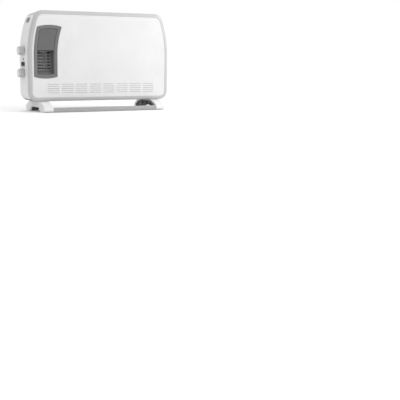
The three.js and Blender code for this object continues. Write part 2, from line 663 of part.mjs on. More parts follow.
function footOutline(tipInset, topInset) {
  const tip = FOOT.reach - tipInset;
  const top = FOOT_TOP - topInset;
  const { bottom, tipRadius } = FOOT;
  const shape = new THREE.Shape();
  shape.moveTo(tip - tipRadius, bottom);
  shape.absarc(tip - tipRadius, bottom + tipRadius, tipRadius, -PI / 2, 0, false);
  shape.bezierCurveTo(tip, top * 0.55, tip * 0.7, top * 0.93, tip * 0.47, top);
  shape.lineTo(-tip * 0.47, top);
  shape.bezierCurveTo(-tip * 0.7, top * 0.93, -tip, top * 0.55, -tip, bottom + tipRadius);
  shape.absarc(-tip + tipRadius, bottom + tipRadius, tipRadius, PI, 1.5 * PI, false);
  return shape;
}

const INNER = -FOOT.centre + FOOT.halfWidth; // inner face of the left foot
const OUTER = -FOOT.centre - FOOT.halfWidth;

function archTool() {
  const { half, flatHalf, top } = ARCH;
  const shape = new THREE.Shape();
  shape.moveTo(half, -1);
  shape.bezierCurveTo(half - 3, 0.65 * top, half - 8, top, flatHalf, top);
  shape.lineTo(-flatHalf, top);
  shape.bezierCurveTo(-half + 8, top, -half + 3, 0.65 * top, -half, -1);
  return plateX(shape, OUTER - 1, INNER + 1, 9);
}

// Seats and holes shared by the foot's two pieces: pads below, screws through the middle.
const ENDS = [-1, 1];
const padSeats = () => ENDS.map((end) => rod(
  'z', PAD.radius + GAP, [-1, PAD.height + GAP], [-FOOT.centre, end * PAD.y]));
const screwHoles = () => ENDS.map((end) => rod(
  'z', FOOT_SCREW.shank + GAP, [0, 60], [-FOOT.centre, end * FOOT_SCREW.y], 10));
const headRecesses = () => ENDS.map((end) => rod(
  'z', FOOT_SCREW.head + GAP, [0, 22], [-FOOT.centre, end * FOOT_SCREW.y], 14));

function footCover() {
  const { outerWall, reach, bottom, rimTip, rimTop } = FOOT;
  const { y, tenon, tenonHalf, tenonZ: [low, high] } = BAR;
  const inside = [OUTER + outerWall, INNER + 1];
  const pocket = plateX(footOutline(rimTip, rimTop), ...inside, 5)
    .add(box(inside, around(0, reach - 24), [-1, bottom + 4]));
  const socket = box(
    [INNER - tenon - GAP, INNER + 1], around(y, tenonHalf + GAP), [low - GAP, high + GAP]);
  const blank = plateX(footOutline(0, 0), OUTER, INNER, 5);
  return cut(blank, archTool(), pocket, socket, ...screwHoles(), ...padSeats());
}

function footCore() {
  const { outerWall, rimTip, rimTop } = FOOT;
  const core = plateX(footOutline(rimTip + GAP, rimTop + GAP), OUTER + outerWall + GAP, INNER, 5);
  return cut(core, archTool(), ...screwHoles(), ...headRecesses(), ...padSeats());
}

function crossBar() {
  const half = -INNER - GAP;
  const { y, halfDepth, bottom, top, round, tenon, tenonHalf, tenonZ } = BAR;
  const section = new THREE.Shape();
  section.moveTo(y - halfDepth, bottom + round);
  section.absarc(y - halfDepth + round, top - round, round, PI, PI / 2, true);
  section.absarc(y + halfDepth - round, top - round, round, PI / 2, 0, true);
  section.absarc(y + halfDepth - round, bottom + round, round, 0, -PI / 2, true);
  section.absarc(y - halfDepth + round, bottom + round, round, -PI / 2, -PI, true);
  const tenons = box([-half - tenon, half + tenon], around(y, tenonHalf), tenonZ);
  return joined(plateX(section, -half, half, 3), tenons);
}

for (const [side, sign] of SIDES) {
  place(`${side}_foot_cover`, FINISH.whitePlastic, mirrored(footCover(), sign));
  place(`${side}_foot_core`, FINISH.darkGrey, mirrored(footCore(), sign));
  for (const [end, direction] of [['front', -1], ['rear', 1]]) {
    const padAt = [sign * FOOT.centre, direction * PAD.y];
    const screwAt = [sign * FOOT.centre, direction * FOOT_SCREW.y];
    place(`${side}_${end}_pad`, FINISH.rubber, rod('z', PAD.radius, [0, PAD.height], padAt));
    place(`${side}_${end}_foot_screw`, FINISH.steel, joined(
      rod('z', FOOT_SCREW.head, [18, 21.7], screwAt, 12),
      rod('z', FOOT_SCREW.shank, [20, FOOT_SCREW.top], screwAt, 8)));
  }
}
place('cross_bar', FINISH.barGrey, crossBar());

export default heater;
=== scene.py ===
"""Fan convector heater: fine surfaces, materials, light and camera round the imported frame.

Lengths in the helpers are millimetres, with x measured from the middle of the case.
"""
import json
import math

import bmesh
import bpy
from mathutils import Matrix, Vector


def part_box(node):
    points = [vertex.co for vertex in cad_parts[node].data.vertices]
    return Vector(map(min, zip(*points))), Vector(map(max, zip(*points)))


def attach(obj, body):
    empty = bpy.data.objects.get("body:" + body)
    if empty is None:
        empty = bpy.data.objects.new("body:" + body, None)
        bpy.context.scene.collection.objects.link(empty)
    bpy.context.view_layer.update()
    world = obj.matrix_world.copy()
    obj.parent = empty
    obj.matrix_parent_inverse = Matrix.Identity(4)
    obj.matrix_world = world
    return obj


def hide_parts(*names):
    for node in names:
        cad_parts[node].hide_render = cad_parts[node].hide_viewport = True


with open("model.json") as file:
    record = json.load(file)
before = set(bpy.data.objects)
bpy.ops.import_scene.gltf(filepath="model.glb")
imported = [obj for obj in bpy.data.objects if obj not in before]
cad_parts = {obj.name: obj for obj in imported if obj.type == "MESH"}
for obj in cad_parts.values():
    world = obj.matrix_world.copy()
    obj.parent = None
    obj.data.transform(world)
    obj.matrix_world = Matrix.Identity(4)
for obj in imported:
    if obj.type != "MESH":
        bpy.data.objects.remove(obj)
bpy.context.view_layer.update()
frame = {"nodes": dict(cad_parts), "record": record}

MM = 0.001
GAP = 0.3

# ---- sizes read from the frame ----
FRAME_LOW, FRAME_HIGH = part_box("front_frame")
CENTRE_X = (FRAME_LOW.x + FRAME_HIGH.x) / 2
HALF = (FRAME_HIGH.x - FRAME_LOW.x) / 2 / MM
BOTTOM, TOP = FRAME_LOW.z / MM, FRAME_HIGH.z / MM
FRONT, FRAME_BACK = FRAME_LOW.y / MM, FRAME_HIGH.y / MM
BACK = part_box("left_end_cap")[1].y / MM

# ---- sizes that the frame's boxes don't give ----
WALL = 2.5
BOTTOM_RADIUS, TOP_RADIUS, SIDE_RADIUS, SIDE_UPRIGHT_TO = 34, 40, 440, 210
BEVEL_WIDTH, BEVEL_DEPTH = 14, 6
REAR_RADIUS, REAR_LIP, TOP_DROP = 8, 12, 8
SIDE_CENTRE = SIDE_RADIUS - HALF
TOP_CENTRE_Z = TOP - TOP_RADIUS
SHOULDER = math.asin((TOP_CENTRE_Z - SIDE_UPRIGHT_TO) / (SIDE_RADIUS - TOP_RADIUS))
TOP_CENTRE_X = (SIDE_RADIUS - TOP_RADIUS) * math.cos(SHOULDER) - SIDE_CENTRE
JOIN_BOTTOM, JOIN_TOP, TOP_SEAM = 288, 267, 2.2
JOIN_ANGLE = -math.acos((JOIN_BOTTOM - HALF + BOTTOM_RADIUS) / BOTTOM_RADIUS)
GLAND_X, GLAND_Z, GLAND_RADIUS = -228, 75, 12
BEZEL, WINDOW_INSET, WINDOW_WIDTH = 14, 21, 95
WINDOW_TOP = (-212, 144, 182)
WINDOW_BOTTOM = (-231, 300, 174)
RECESS_BACK = -20
SILL_LOW, SILL_TOP = 130, 154
OUTLET_SPAN = (-290, -150)  # from one side of the fan window to beyond the other
HOOD_FRONT, HOOD_MIDDLE, HOOD_LIP, HOOD_BACK, HOOD_THICKNESS = -46, -44.5, -45, -17, 2.5
HOOD_TOP, HOOD_LOW = 322, 231
GRILLE_LOW, GRILLE_TOP, GRILLE_FRONT, GRILLE_BACK = 154.3, 229, -26, -16.5
SLATS, FIRST_SLAT, SLAT_PITCH, SLAT_TILT = 6, 158.5, 11.5, 0.9
CONTROL_Y = 6
KNOB_HEIGHTS = {"thermostat": 228.5, "selector": 145}
LAMP_Z, ROCKER_Z, ROCKER_BEZEL = 197, 179, 3.8
ROCKER_RIM, ROCKER_CUTOUT, ROCKER_BODY, ROCKER_MOUTH = (26, 16), (21.6, 13.6), (21, 13), (18, 10)
ROCKER_PIVOT_X, ROCKER_REST = -296, math.radians(-8)
KNOB_RADIUS, KNOB_REACH, KNOB_LIFT, KNOB_FLUTES = 17, 21.5, 1, 36
GRIP_ANGLE = math.radians(18.2)
GRIP_Y, GRIP_LENGTH, GRIP_HEIGHT, GRIP_DEPTH = 12, 21, 12, 19
REAR_SCREWS = [(284, 84), (268, 300)]
FOOT_CENTRE, FOOT_HALF, FOOT_REACH, FOOT_BOTTOM, FOOT_WALL = 240, 18, 95, 1.2, 6
ARCH_HALF, ARCH_FLAT, ARCH_TOP = 50, 30, 17
PAD_REACH, FOOT_SCREW_REACH = 66, 30
BAR_Y, BAR_DEPTH = -88, 9
FOOT_TOP = BOTTOM - GAP


# ---- paths and outlines ----
def leaned(y, z):
    """A height on the shell, lowered as the top leans down towards the rear."""
    depth = max(0, (y - FRAME_BACK) / (BACK - FRAME_BACK))
    rise = min(1, max(0, (z - SIDE_UPRIGHT_TO) / (TOP - SIDE_UPRIGHT_TO)))
    return z - TOP_DROP * depth * rise * rise * (3 - 2 * rise)


def arc(cx, cz, radius, start, end, steps):
    """Points of an arc, with its ends."""
    angles = [start + (end - start) * i / steps for i in range(steps + 1)]
    return [(cx + radius * math.cos(a), cz + radius * math.sin(a)) for a in angles]


def bezier(a, b, c, d, steps):
    """Points of a cubic curve, with its ends."""
    points = []
    for i in range(steps + 1):
        t = i / steps
        weights = ((1 - t) ** 3, 3 * t * (1 - t) ** 2, 3 * t * t * (1 - t), t ** 3)
        points.append(tuple(sum(w * p[k] for w, p in zip(weights, (a, b, c, d))) for k in (0, 1)))
    return points


def end_path(inset, top_angle=math.pi / 2, bottom_angle=-math.pi / 2):
    """The right end of the case outline, between an angle on its bottom corner and one on its top."""
    return [
        *arc(HALF - BOTTOM_RADIUS, BOTTOM + BOTTOM_RADIUS, BOTTOM_RADIUS - inset, bottom_angle, 0, 12),
        *arc(-SIDE_CENTRE, SIDE_UPRIGHT_TO, SIDE_RADIUS - inset, 0, SHOULDER, 18),
        *arc(TOP_CENTRE_X, TOP_CENTRE_Z, TOP_RADIUS - inset, SHOULDER, top_angle, 14)[1:],
    ]


def outline(inset):
    """The whole case outline, pulled inwards."""
    right = end_path(inset)
    return right + [(-x, z) for x, z in reversed(right)]


def crossing(a, b, sign):
    """Where two circles (x, z, radius) meet, on one side of the line between their centres."""
    dx, dz = b[0] - a[0], b[1] - a[1]
    span = math.hypot(dx, dz)
    along = (span ** 2 + a[2] ** 2 - b[2] ** 2) / (2 * span)
    off = math.sqrt(a[2] ** 2 - along ** 2) * sign
    return a[0] + (dx * along - dz * off) / span, a[1] + (dz * along + dx * off) / span


def window(inset, ease=None):
    """The fan window's outline, pulled inwards: two curved sides and two bowed ends."""
    ease = ease or max(4 - inset / 5, 1)
    left_x = -HALF + WINDOW_INSET + inset
    right_x = left_x + WINDOW_WIDTH - 2 * inset
    left = (SIDE_CENTRE, SIDE_UPRIGHT_TO, SIDE_CENTRE - left_x)
    right = (SIDE_CENTRE, SIDE_UPRIGHT_TO, SIDE_CENTRE - right_x)
    top = (WINDOW_TOP[0], WINDOW_TOP[1], WINDOW_TOP[2] - inset)
    low = (WINDOW_BOTTOM[0], WINDOW_BOTTOM[1], WINDOW_BOTTOM[2] - inset)

    def angle(circle, point):
        return math.atan2(point[1] - circle[1], point[0] - circle[0])

    def floor_at(x):
        return x, low[1] - math.sqrt(low[2] ** 2 - (x - low[0]) ** 2)

    def corner(before, point, after):
        return bezier(before, point, point, after, 6)[1:-1]

    top_left, top_right = crossing(left, top, -1), crossing(right, top, -1)
    low_left, low_right = floor_at(left_x), floor_at(right_x)
    left_end = angle(left, top_left) % (2 * math.pi) + ease / left[2]
    right_start = angle(right, top_right) % (2 * math.pi) + ease / right[2]
    sides = [
        [(left_x, low_left[1] + ease), *arc(*left, math.pi, left_end, 14)],
        arc(*top, angle(top, top_left) - ease / top[2], angle(top, top_right) + ease / top[2], 14),
        [*arc(*right, right_start, math.pi, 14), (right_x, low_right[1] + ease)],
        arc(*low, angle(low, low_right) - ease / low[2], angle(low, low_left) + ease / low[2], 14),
    ]
    points = []
    for i, corner_point in enumerate((top_left, top_right, low_right, low_left)):
        points += sides[i] + corner(sides[i][-1], corner_point, sides[(i + 1) % 4][0])
    return points


def stadium(cx, cz, width, height, steps=6):
    """A slot with round ends."""
    r = height / 2
    reach = width / 2 - r
    return (arc(cx + reach, cz, r, -math.pi / 2, math.pi / 2, steps)
            + arc(cx - reach, cz, r, math.pi / 2, 1.5 * math.pi, steps))


def rounded_rectangle(cx, cz, width, height, r, steps=5):
    """A rectangle with round corners."""
    points = []
    for k, (sx, sz) in enumerate(((1, -1), (1, 1), (-1, 1), (-1, -1))):
        start = (k - 1) * math.pi / 2
        centre = (cx + sx * (width / 2 - r), cz + sz * (height / 2 - r))
        points += arc(*centre, r, start, start + math.pi / 2, steps)
    return points


def spread(count, pitch, centre=0):
    return [centre + (i - (count - 1) / 2) * pitch for i in range(count)]


# ---- meshes ----
ALONG = {  # where an outline's two directions and its depth go
    "x": lambda u, v, w: (w, u, v),
    "y": lambda u, v, w: (u, w, v),
    "z": lambda u, v, w: (u, v, w),
}


def build(name, verts, faces):
    """An object from points in millimetres, with its faces turned outwards."""
    mesh = bpy.data.meshes.new(name)
    mesh.from_pydata([(x * MM + CENTRE_X, y * MM, z * MM) for x, y, z in verts], [], faces)
    tidy = bmesh.new()
    tidy.from_mesh(mesh)
    bmesh.ops.remove_doubles(tidy, verts=tidy.verts, dist=1e-6)
    bmesh.ops.recalc_face_normals(tidy, faces=tidy.faces)
    for face in tidy.faces:
        face.smooth = True
    tidy.to_mesh(mesh)
    tidy.free()
    obj = bpy.data.objects.new(name, mesh)
    bpy.context.scene.collection.objects.link(obj)
    return obj


def loft(name, rings, round_trip=False):
    """A skin over rings of points: a closed ring of rings, or capped at its two ends."""
    count = len(rings[0])
    faces = []
    for k in range(len(rings) if round_trip else len(rings) - 1):
        n = (k + 1) % len(rings)
        for i in range(count):
            j = (i + 1) % count
            faces.append((k * count + i, k * count + j, n * count + j, n * count + i))
    if not round_trip:
        faces.append(tuple(reversed(range(count))))
        faces.append(tuple((len(rings) - 1) * count + i for i in range(count)))
    return build(name, [p for ring in rings for p in ring], faces)


def prism(name, loop, low, high, axis):
    """A solid with straight walls between two depths along an axis."""
    return loft(name, [[ALONG[axis](u, v, w) for u, v in loop] for w in (low, high)])


def lathe(name, profile, centre, steps=48, radius_at=None):
    """A solid turned about an X axis through centre (y, z). The profile is (x, radius)."""
    rings = []
    for x, r in profile:
        ring = []
        for i in range(steps):
            a = 2 * math.pi * i / steps
            turned = radius_at(x, r, a) if radius_at else r
            ring.append((x, centre[0] + turned * math.cos(a), centre[1] + turned * math.sin(a)))
        rings.append(ring)
    return loft(name, rings)


def lathe_along(name, profile, centre, axis, steps=32):
    """A solid turned about an axis. The profile is (place along the axis, radius)."""
    rings = []
    for w, r in profile:
        angles = [2 * math.pi * i / steps for i in range(steps)]
        circle = [(centre[0] + r * math.cos(a), centre[1] + r * math.sin(a)) for a in angles]
        rings.append([ALONG[axis](u, v, w) for u, v in circle])
    return loft(name, rings)


def block(name, x, y, z):
    return prism(name, [(x[0], y[0]), (x[1], y[0]), (x[1], y[1]), (x[0], y[1])], *z, "z")


def apply_modifiers(obj):
    graph = bpy.context.evaluated_depsgraph_get()
    mesh = bpy.data.meshes.new_from_object(obj.evaluated_get(graph))
    obj.modifiers.clear()
    obj.data = mesh
    return obj


def carve(obj, *tools, operation="DIFFERENCE"):
    """Cuts or intersects obj with the tools, which are used up."""
    for tool in tools:
        step = obj.modifiers.new("cut", "BOOLEAN")
        step.operation = operation
        step.solver = "EXACT"
        step.object = tool
        apply_modifiers(obj)
        bpy.data.objects.remove(tool)
    for face in obj.data.polygons:
        face.use_smooth = True
    return obj


def joined(obj, *others):
    """One object from several, each kept as its own shell."""
    merged = bmesh.new()
    for part in (obj, *others):
        merged.from_mesh(part.data)
    merged.to_mesh(obj.data)
    merged.free()
    for part in others:
        bpy.data.objects.remove(part)
    return obj


def soften(obj, width, segments=3, angle=32):
    """Rounds the sharp edges by width, and keeps the flats flat."""
    edge = obj.modifiers.new("edge", "BEVEL")
    edge.width = width * MM
    edge.segments = segments
    edge.limit_method = "ANGLE"
    edge.angle_limit = math.radians(angle)
    edge.use_clamp_overlap = True
    flats = obj.modifiers.new("flats", "WEIGHTED_NORMAL")
    flats.weight = 100
    return obj


def crisp(obj, angle=40):
    """Smooth shading with sharp edges past an angle."""
    obj.data.set_sharp_from_angle(angle=math.radians(angle))
    return obj


def plate(name, loops, low, high, axis, edge=0.3, segments=2):
    """A sheet with holes, all its edges rounded. The first loop is the outside."""
    curve = bpy.data.curves.new(name, "CURVE")
    curve.dimensions = "2D"
    curve.fill_mode = "BOTH"
    curve.extrude = (high - low) / 2 - edge
    curve.bevel_depth = edge
    curve.bevel_resolution = segments
    curve.offset = -edge
    for loop in loops:
        spline = curve.splines.new("POLY")
        spline.points.add(len(loop) - 1)
        for point, (u, v) in zip(spline.points, loop):
            point.co = (u, v, 0, 1)
        spline.use_cyclic_u = True
    holder = bpy.data.objects.new(name, curve)
    bpy.context.scene.collection.objects.link(holder)
    graph = bpy.context.evaluated_depsgraph_get()
    flat = bpy.data.meshes.new_from_object(holder.evaluated_get(graph))
    bpy.data.objects.remove(holder)
    middle = (low + high) / 2
    verts = [ALONG[axis](v.co.x, v.co.y, middle + v.co.z) for v in flat.vertices]
    faces = [tuple(p.vertices) for p in flat.polygons]
    obj = build(name, verts, faces)
    normals = obj.modifiers.new("flats", "WEIGHTED_NORMAL")
    normals.weight = 100
    return obj


def mirrored(obj, name):
    """The same piece on the other side of the case."""
    twin = obj.copy()
    twin.name = name
    twin.data = obj.data.copy()
    for v in twin.data.vertices:
        v.co.x = 2 * CENTRE_X - v.co.x
    twin.data.flip_normals()
    bpy.context.scene.collection.objects.link(twin)
    return twin


# ---- materials ----
def new_material(name):
    material = bpy.data.materials.new(name)
    material.use_nodes = True
    return material, material.node_tree.nodes, material.node_tree.links


def noise(nodes, links, place, scale, detail=3.0, rough=0.5, stretch=None):
    """A noise texture, its pattern stretched along an axis if asked."""
    texture = nodes.new("ShaderNodeTexNoise")
    texture.inputs["Scale"].default_value = scale
    texture.inputs["Detail"].default_value = detail
    texture.inputs["Roughness"].default_value = rough
    if stretch:
        mapping = nodes.new("ShaderNodeMapping")
        mapping.inputs["Scale"].default_value = stretch
        links.new(place, mapping.inputs["Vector"])
        place = mapping.outputs["Vector"]
    links.new(place, texture.inputs["Vector"])
    return texture.outputs["Fac"]


def spanned(nodes, links, value, low, high, start=0.3, end=0.7):
    """Maps a noise value onto a range."""
    span = nodes.new("ShaderNodeMapRange")
    span.inputs["From Min"].default_value = start
    span.inputs["From Max"].default_value = end
    span.inputs["To Min"].default_value = low
    span.inputs["To Max"].default_value = high
    links.new(value, span.inputs["Value"])
    return span.outputs["Result"]


def mixed(nodes, links, factor, a, b):
    """Blends two colours; each is a tuple or a socket."""
    mix = nodes.new("ShaderNodeMix")
    mix.data_type = "RGBA"
    links.new(factor, mix.inputs["Factor"])
    for key, colour in (("A", a), ("B", b)):
        socket = next(s for s in mix.inputs if s.identifier == f"{key}_Color")
        if isinstance(colour, tuple):
            socket.default_value = (*colour, 1)
        else:
            links.new(colour, socket)
    return next(s for s in mix.outputs if s.identifier == "Result_Color")


def scaled(colour, factor):
    return tuple(min(c * factor, 1) for c in colour)


def surface(name, colour, roughness, grain, relief, metallic=0.0, mottle=0.03, spread_rough=0.06,
            brushed=None, coat=0.0, worn=0.25, hollow_shade_amount=0.12):
    """A moulded or painted surface: fine grain, slight colour drift, worn edges, and painted shade that
    darkens its hollows.
    """
    material, nodes, links = new_material(name)
    shader = nodes["Principled BSDF"]
    place = nodes.new("ShaderNodeTexCoord").outputs["Object"]
    shader.inputs["Metallic"].default_value = metallic
    shader.inputs["Coat Weight"].default_value = coat
    shader.inputs["Coat Roughness"].default_value = 0.25

    drift = noise(nodes, links, place, 9, 4, 0.6)
    patches = spanned(nodes, links, drift, 0, 1)
    base = mixed(nodes, links, patches, scaled(colour, 1 - mottle), scaled(colour, 1 + mottle))
    specks = noise(nodes, links, place, 1400, 1, 0.5)
    dots = spanned(nodes, links, specks, 0, 0.5, 0.62, 0.75)
    base = mixed(nodes, links, dots, base, scaled(colour, 0.88))

    geometry = nodes.new("ShaderNodeNewGeometry")
    edge = spanned(nodes, links, geometry.outputs["Pointiness"], 0, worn, 0.53, 0.6)
    base = mixed(nodes, links, edge, base, scaled(colour, 1.12))
    # painted shade: the colour is darkened towards 0.55 of itself in hollows and creases, found by ambient
    # occlusion
    hollow = nodes.new("ShaderNodeAmbientOcclusion")
    hollow.samples = 4
    hollow.inputs["Distance"].default_value = 0.006
    hollow_shade = spanned(nodes, links, hollow.outputs["AO"], hollow_shade_amount, 0, 0.35, 0.9)
    base = mixed(nodes, links, hollow_shade, base, scaled(colour, 0.55))
    links.new(base, shader.inputs["Base Color"])

    smear = noise(nodes, links, place, 38, 5, 0.65, brushed)
    links.new(
        spanned(nodes, links, smear, max(roughness - spread_rough, 0.05), roughness + spread_rough),
        shader.inputs["Roughness"])

    fine = noise(nodes, links, place, grain, 2, 0.5, brushed)
    wavy = noise(nodes, links, place, 55, 2, 0.5)
    soft = nodes.new("ShaderNodeBump")
    soft.inputs["Strength"].default_value = 0.08
    soft.inputs["Distance"].default_value = 0.0006
    links.new(wavy, soft.inputs["Height"])
    rough = nodes.new("ShaderNodeBump")
    rough.inputs["Strength"].default_value = relief
    rough.inputs["Distance"].default_value = 0.0001
    links.new(fine, rough.inputs["Height"])
    links.new(soft.outputs["Normal"], rough.inputs["Normal"])
    links.new(rough.outputs["Normal"], shader.inputs["Normal"])
    return material


MATERIALS = {
    "white_panel": surface("white_panel", (0.67, 0.67, 0.67), 0.34, 700, 0.18, coat=0.15),
    "white_plastic": surface("white_plastic", (0.70, 0.70, 0.70), 0.46, 1600, 0.35),
    "grey_trim": surface("grey_trim", (0.46, 0.46, 0.46), 0.40, 1500, 0.3),
    "dark_grey_plastic": surface("dark_grey_plastic", (0.14, 0.14, 0.14), 0.42, 1300, 0.4, worn=0.35),
    "hood_grey": surface("hood_grey", (0.105, 0.105, 0.105), 0.42, 1300, 0.4, worn=0.35),
    "grille_grey": surface("grille_grey", (0.19, 0.19, 0.19), 0.36, 1300, 0.3, worn=0.35),
    "bar_grey": surface("bar_grey", (0.34, 0.34, 0.34), 0.4, 900, 0.25),
    "black_plastic": surface("black_plastic", (0.018, 0.018, 0.019), 0.38, 1300, 0.4, worn=0.5),
    "pad_rubber": surface("pad_rubber", (0.03, 0.03, 0.03), 0.8, 900, 0.6),
    "zinc_steel": surface(
        "zinc_steel", (0.56, 0.57, 0.58), 0.34, 900, 0.25, metallic=1.0, brushed=(1, 14, 1)),
    "aluminium": surface(
        "aluminium", (0.7, 0.71, 0.72), 0.4, 900, 0.25, metallic=1.0, brushed=(14, 1, 1)),
    "lamp_lens": surface("lamp_lens", (0.24, 0.23, 0.22), 0.18, 500, 0.1, coat=0.6),
    "ceramic": surface("ceramic", (0.68, 0.64, 0.54), 0.55, 1200, 0.3),
}

RECORD = frame["record"]
BODY_OF = {node: body for body, nodes in RECORD["behaviour"]["bodies"].items() for node in nodes}
SLOT_OF = {row["node"]: row["material_slot"] for row in RECORD["subparts"]}
SHOWN_AS_PACKED = set(frame["nodes"])


def stands_for(obj, node, look=None):
    """Puts a fine piece in a CAD node's place. Its look is the slot's, or another of MATERIALS."""
    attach(obj, BODY_OF[node])
    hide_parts(node)
    obj.data.materials.clear()
    obj.data.materials.append(MATERIALS[look or SLOT_OF[node]])
    SHOWN_AS_PACKED.discard(node)
    return obj


# ---- case ----
def ring_round(name, section):
    """Sweeps a closed section of (inset, y) round the case outline."""
    rings = [[(x, y, z) for x, z in outline(inset)] for inset, y in section]
    return loft(name, rings, round_trip=True)


def front_frame():
    shoulder = FRONT + BEVEL_DEPTH
    quarter = arc(0, 0, 1, 0, math.pi / 2, 16)[:-1]
    bevel = [(BEVEL_WIDTH * (1 - c), shoulder - BEVEL_DEPTH * s) for c, s in quarter]
    seat = FRONT + 1.6
    section = [
        (3, FRAME_BACK), (0.5, FRAME_BACK), (0.15, FRAME_BACK - 0.15), (0, FRAME_BACK - 0.5), *bevel,
        (BEVEL_WIDTH - 0.6, FRONT), (BEVEL_WIDTH - 0.2, FRONT + 0.15), (BEVEL_WIDTH, FRONT + 0.6),
        (BEVEL_WIDTH, seat), (BEVEL_WIDTH + 6, seat), (BEVEL_WIDTH + 6, seat + 2),
        (BEVEL_WIDTH - 2, seat + 2), (3, shoulder + 2.5),
    ]
    return crisp(ring_round("front_frame_moulding", section), 50)


VENT_ROWS = spread(5, 8, 88)
VENT_GROUPS = spread(8, 58.5, 3.5)
VENT_HEIGHT = 1.0


def front_panel():
    front = FRONT + 0.3
    slots = [stadium(x, z, 48, VENT_HEIGHT) for x in VENT_GROUPS for z in VENT_ROWS]
    loops = [outline(BEVEL_WIDTH + GAP), window(0), *slots]
    panel = plate("front_panel_sheet", loops, front, front + 1, "y", 0.25)
    louvres = []
    for x in VENT_GROUPS:
        for z in VENT_ROWS:
            root, tip = front + 0.9, front + 4.6
            lip = [(root, z - 1.7), (tip, z + 1.6), (tip, z + 2.2), (root, z - 1.0)]
            louvres.append(prism("louvre", lip, x - 25, x + 25, "x"))
    return joined(panel, *louvres)


def shell_section():
    turn = BACK - REAR_RADIUS
    lip = BACK - WALL
    inner = [(REAR_RADIUS - d, y) for d, y in arc(0, turn, REAR_RADIUS - WALL, 0, math.pi / 2, 8)]
    outer = [(REAR_RADIUS - d, y) for d, y in arc(0, turn, REAR_RADIUS, math.pi / 2, 0, 10)]
    edge = FRAME_BACK + GAP
    return [(WALL, edge), *inner, (REAR_LIP, lip), (REAR_LIP, BACK - 0.5), (REAR_LIP - 0.15, BACK - 0.15),
            (REAR_LIP - 0.5, BACK), *outer, (0, edge + 0.6), (0.15, edge + 0.15), (0.6, edge)]


def along_path(name, path_of):
    """Sweeps the shell's section along a stretch of outline. path_of gives it for an inset."""
    paths = [(path_of(inset), y) for inset, y in shell_section()]
    rings = [[(path[i][0], y, leaned(y, path[i][1])) for path, y in paths] for i in range(len(paths[0][0]))]
    return loft(name, rings)


def grip_frame(side):
    out = Vector((side * math.cos(GRIP_ANGLE), 0, math.sin(GRIP_ANGLE)))
    up = Vector((-side * math.sin(GRIP_ANGLE), 0, math.cos(GRIP_ANGLE)))
    foot = Vector((side * (SIDE_RADIUS * math.cos(GRIP_ANGLE) - SIDE_CENTRE), GRIP_Y,
                   SIDE_UPRIGHT_TO + SIDE_RADIUS * math.sin(GRIP_ANGLE)))
    return foot, out, up


def grip_rings(side, section):
    """Oval rings across the grip's opening: (shrink, height above the surface)."""
    foot, out, up = grip_frame(side)
    rings = []
    for shrink, height in section:
        ring = []
        for i in range(64):
            a = 2 * math.pi * i / 64
            along = (GRIP_LENGTH - shrink) * math.cos(a)
            across = (GRIP_HEIGHT - shrink) * math.sin(a)
            point = foot + Vector((0, along, 0)) + up * across + out * height
            point.z = leaned(point.y, point.z)
            ring.append(point)
        rings.append(ring)
    return rings


def end_cap(side):
    top_angle = math.acos((JOIN_TOP + TOP_SEAM - TOP_CENTRE_X) / TOP_RADIUS)
    bottom_angle = JOIN_ANGLE + GAP / BOTTOM_RADIUS
    cap = along_path(
        "end_cap", lambda inset: [(side * x, z) for x, z in end_path(inset, top_angle, bottom_angle)])
    mouth = [(0, -8), (0, -2.1), (-0.5, -1.2), (-1.6, -0.5), (-3.2, -0.1), (-5, 0.7), (-5, 4)]
    tools = [loft("tool", grip_rings(side, mouth))]
    if side < 0:
        wall = (-HALF - 5, -HALF + 8)
        bore = [(wall[0], 4.8), (wall[1], 4.8)]
        tools += [lathe("tool", bore, (CONTROL_Y, z)) for z in KNOB_HEIGHTS.values()]
        tools.append(lathe("tool", [(wall[0], 4.4), (wall[1], 4.4)], (CONTROL_Y, LAMP_Z)))
        tools.append(prism("tool", rounded_rectangle(CONTROL_Y, ROCKER_Z, *ROCKER_CUTOUT, 1), *wall, "x"))
    carve(cap, *tools)
    bosses = []
    for x, z in REAR_SCREWS:
        tube = [(20, 5), (BACK - 1.6, 5), (BACK - 1.6, 2.1), (28, 2.1)]
        bosses.append(lathe_along("boss", tube, (side * x, z), "y"))
        web = sorted((side * (x + 4.5), side * (x + 13)))
        bosses.append(block("rib", web, (22, 42), (z - 1.2, z + 1.2)))
    name = "left" if side < 0 else "right"
    shell = soften(cap, 0.5, 3, 40)
    shell = apply_modifiers(shell)
    shell.name = f"{name}_end_cap_shell"
    return joined(shell, *bosses)


def top_grille():
    start = math.acos((JOIN_TOP - 0.4 - TOP_CENTRE_X) / TOP_RADIUS)

    def path(inset):
        right = arc(TOP_CENTRE_X, TOP_CENTRE_Z, TOP_RADIUS - inset, start, math.pi / 2, 8)
        return right + [(-x, z) for x, z in reversed(right)]

    strip = along_path("top_outlet_grille_strip", path)
    loops = [stadium(x, y, 27, 4.4) for x in (-13, 21) for y in spread(57, 8)]
    tools = [prism("tool", [(v, u) for u, v in loop], TOP - 6, TOP + 6, "z") for loop in loops]
    return soften(carve(strip, joined(*tools)), 0.4, 2, 40)


